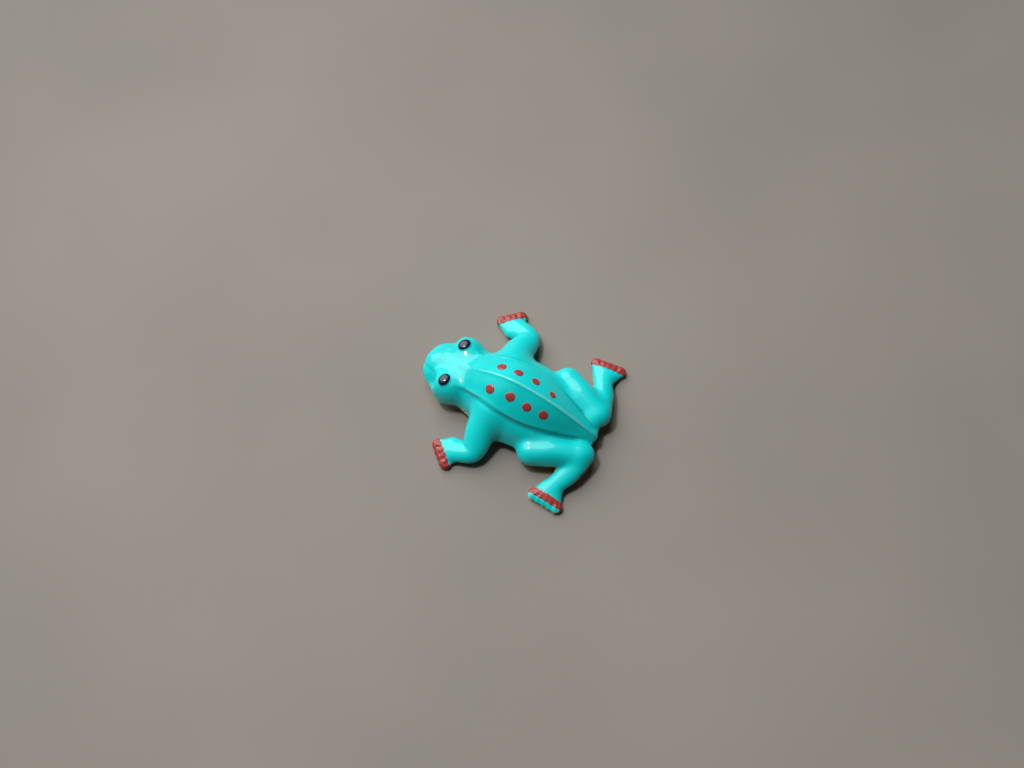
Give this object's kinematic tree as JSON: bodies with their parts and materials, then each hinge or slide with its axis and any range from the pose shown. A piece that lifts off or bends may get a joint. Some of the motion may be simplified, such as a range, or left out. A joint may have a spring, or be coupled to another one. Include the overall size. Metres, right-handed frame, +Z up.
{
  "type": "wind-up jumping frog toy",
  "caption": "Enamelled tin jumping frog with four splayed legs, fold-flat winding key, clockwork movement and sprung kicker under the belly.",
  "frame": {"origin": "on the ground under the middle of the frog's bounding box", "axes": "+X towards the snout, +Y to the frog's left, +Z up"},
  "size_m": [0.044, 0.0422, 0.0139],
  "materials": {
    "turquoise_enamel": "gloss",
    "yellow_enamel": "gloss",
    "brass_plate": "satin",
    "turned_steel": "satin",
    "blued_spring_steel": "satin",
    "nickel_plate": "gloss"
  },
  "bodies": {
    "frame": {"top_shell": "turquoise_enamel", "belly_shell": "yellow_enamel", "movement_lower_plate": "brass_plate", "movement_upper_plate": "brass_plate", "pillar_front_left": "turned_steel", "pillar_front_right": "turned_steel", "pillar_rear_left": "turned_steel", "pillar_rear_right": "turned_steel", "movement_screw_front": "turned_steel", "movement_screw_rear": "turned_steel", "mainspring": "blued_spring_steel", "kicker_pin": "turned_steel", "kick_spring": "blued_spring_steel"},
    "winding": {"winding_arbor": "turned_steel", "ratchet_wheel": "turned_steel", "key_head": "nickel_plate", "key_pin": "turned_steel"},
    "key": {"key_bow": "nickel_plate"},
    "great": {"great_wheel": "brass_plate", "click_rivet": "turned_steel", "click_spring": "blued_spring_steel"},
    "click_arm": {"click": "turned_steel"},
    "second": {"second_arbor": "turned_steel", "second_wheel": "brass_plate"},
    "cam": {"cam_arbor": "turned_steel", "face_cam": "brass_plate"},
    "kicker": {"kick_lever": "nickel_plate"}
  },
  "joints": [
    {"name": "key_turn", "type": "hinge", "parent": "frame", "child": "winding", "pos_m": [0.00349, 0, 0.004], "axis": [0, 0, 1], "continuous": true},
    {"name": "key_fold", "type": "hinge", "parent": "winding", "child": "key", "pos_m": [0.00349, 0, 0.00095], "axis": [0, 1, 0], "range_deg": [0, 90]},
    {"name": "great_wheel_turn", "type": "hinge", "parent": "frame", "child": "great", "pos_m": [0.00349, 0, 0.0053], "axis": [0, 0, 1], "continuous": true},
    {"name": "click_swing", "type": "hinge", "parent": "great", "child": "click_arm", "pos_m": [0.00679, 0, 0.0046], "axis": [0, 0, 1], "range_deg": [0, 3.8]},
    {"name": "second_wheel_turn", "type": "hinge", "parent": "frame", "child": "second", "pos_m": [-0.00213, 0.0022, 0.004], "axis": [0, 0, 1], "continuous": true},
    {"name": "cam_turn", "type": "hinge", "parent": "frame", "child": "cam", "pos_m": [-0.00515, -0.00157, 0.004], "axis": [0, 0, 1], "continuous": true},
    {"name": "kicker_swing", "type": "hinge", "parent": "frame", "child": "kicker", "pos_m": [-0.01005, 0, 0.0039], "axis": [0, -1, 0], "range_deg": [0, 28]}
  ],
  "couplings": [
    {"joint": "second_wheel_turn", "follows": "great_wheel_turn", "ratio": -4},
    {"joint": "cam_turn", "follows": "great_wheel_turn", "ratio": 12}
  ]
}
